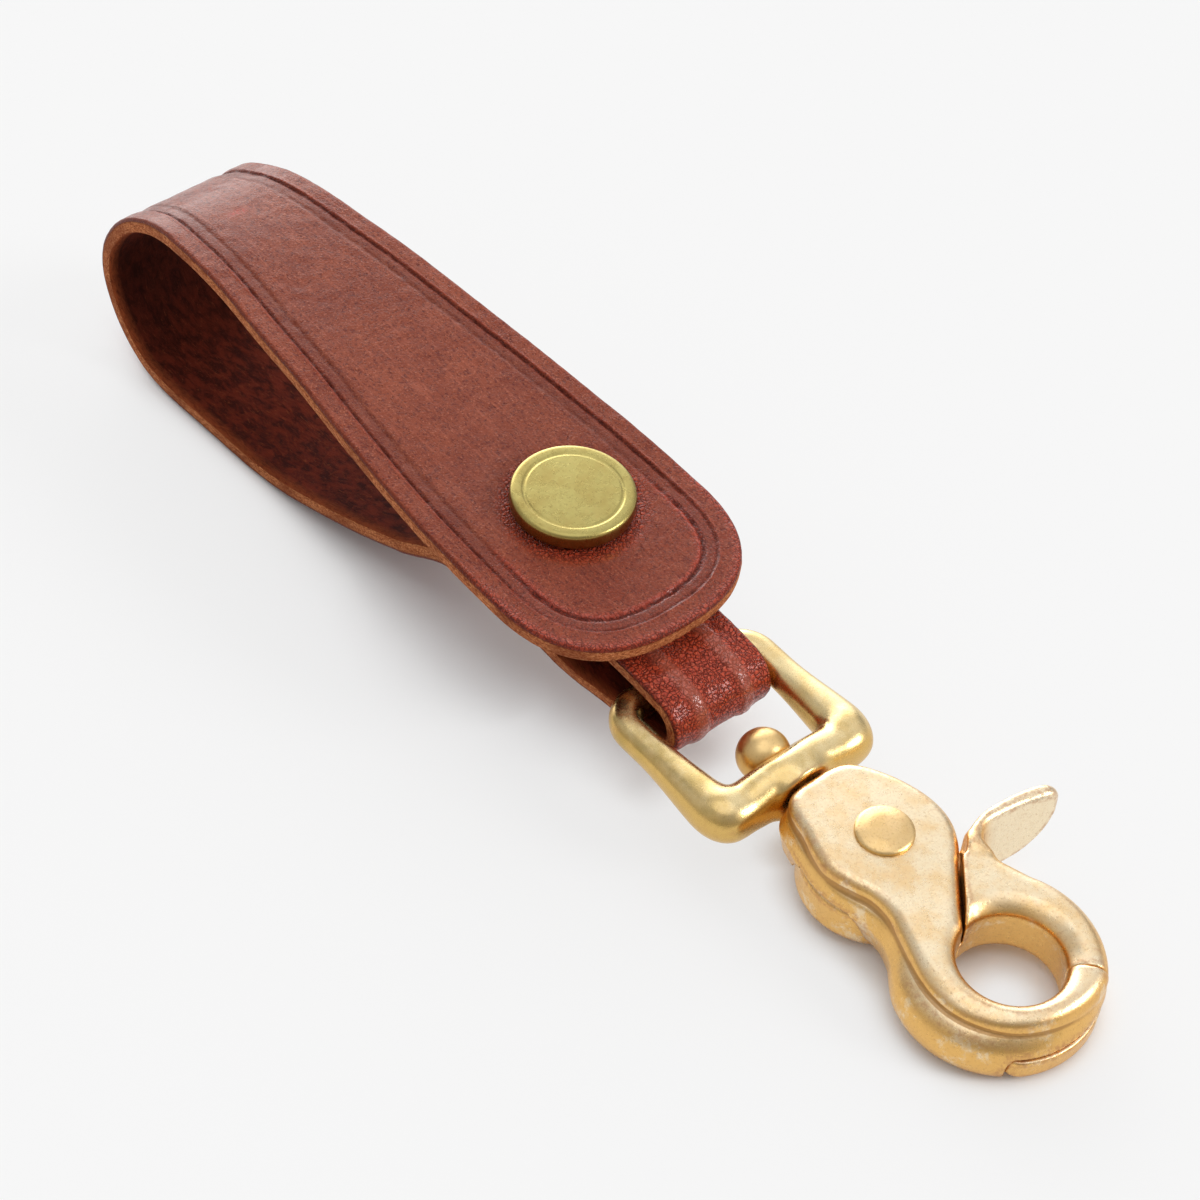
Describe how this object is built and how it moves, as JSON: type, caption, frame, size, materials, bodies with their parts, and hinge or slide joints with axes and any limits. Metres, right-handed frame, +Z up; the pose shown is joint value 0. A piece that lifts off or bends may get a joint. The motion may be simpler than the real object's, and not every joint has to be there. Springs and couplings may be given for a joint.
{
  "type": "key fob",
  "caption": "Leather strap folded into a snap-closed belt loop, with a swivel ring and a sprung trigger hook for keys.",
  "frame": {"origin": "centre of the top face of the snap's cap", "axes": "+X along the strap towards the hook, +Z up with the fob lying on its loop, +Y to the side that the hook's thumb tab points to"},
  "size_m": [0.1747, 0.0383, 0.0303],
  "materials": {
    "leather": "waxed grain, raw flesh side",
    "aged_brass": "aged satin",
    "ring_brass": "polished",
    "hook_brass": "tumbled matte",
    "spring_steel": "drawn wire"
  },
  "bodies": {
    "strap": {"strap_lower": "leather", "snap_stud": "aged_brass", "snap_post": "aged_brass"},
    "flap": {"strap_flap": "leather", "snap_cap": "aged_brass", "snap_socket": "aged_brass", "socket_spring": "spring_steel"},
    "ring": {"swivel_ring": "ring_brass"},
    "hook": {"swivel_pin": "ring_brass", "hook_body": "hook_brass", "pivot_rivet": "hook_brass", "lever_spring": "spring_steel"},
    "lever": {"lever": "hook_brass"}
  },
  "joints": [
    {"name": "flap_open", "type": "hinge", "parent": "strap", "child": "flap", "pos_m": [-0.0744, -0.0012, 0.0033], "axis": [0, -1, 0], "range_deg": [0, 75]},
    {"name": "ring_pivot", "type": "hinge", "parent": "strap", "child": "ring", "pos_m": [0.0214, -0.0015, -0.0143], "axis": [0, 1, 0], "range_deg": [-80, 80]},
    {"name": "hook_swivel", "type": "hinge", "parent": "ring", "child": "hook", "pos_m": [0.0214, -0.0015, -0.0143], "axis": [0.9945, 0, -0.1045], "continuous": true},
    {"name": "lever_pivot", "type": "hinge", "parent": "hook", "child": "lever", "pos_m": [0.05472, -0.0004, -0.0178], "axis": [0.1045, 0, 0.9945], "range_deg": [0, 45], "stiffness_Nm_per_rad": 0.02, "springref_deg": -20.05}
  ]
}
